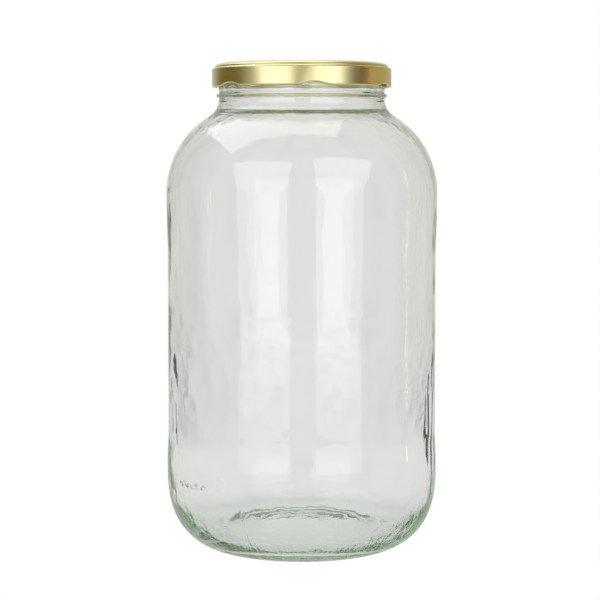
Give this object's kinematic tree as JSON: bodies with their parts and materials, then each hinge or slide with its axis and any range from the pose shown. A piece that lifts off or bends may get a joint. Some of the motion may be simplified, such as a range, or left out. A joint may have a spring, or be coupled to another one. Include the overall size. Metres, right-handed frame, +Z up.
{
  "type": "screw-top jar",
  "caption": "Large clear glass food jar, empty, with a rounded shoulder and heel, closed by a gold twist-off metal lid over a soft seal ring.",
  "frame": {"origin": "centre of the ring that the jar stands on, in the plane it rests on", "axes": "+Z up along the jar's axis to the lid; -Y faces the picture's camera; +X to its right"},
  "size_m": [0.153, 0.153, 0.2736],
  "materials": {
    "clear_glass": "clear soda-lime container glass, faint grey-green, dark green where it is thick, slightly wavy",
    "gold_lacquer": "satin gold lacquer on tinplate, fine rolled grain",
    "seal_compound": "matt off-white soft sealing compound"
  },
  "bodies": {
    "root": {"glass_jar": "clear_glass", "gold_lid": "gold_lacquer", "seal_ring": "seal_compound"}
  },
  "joints": []
}
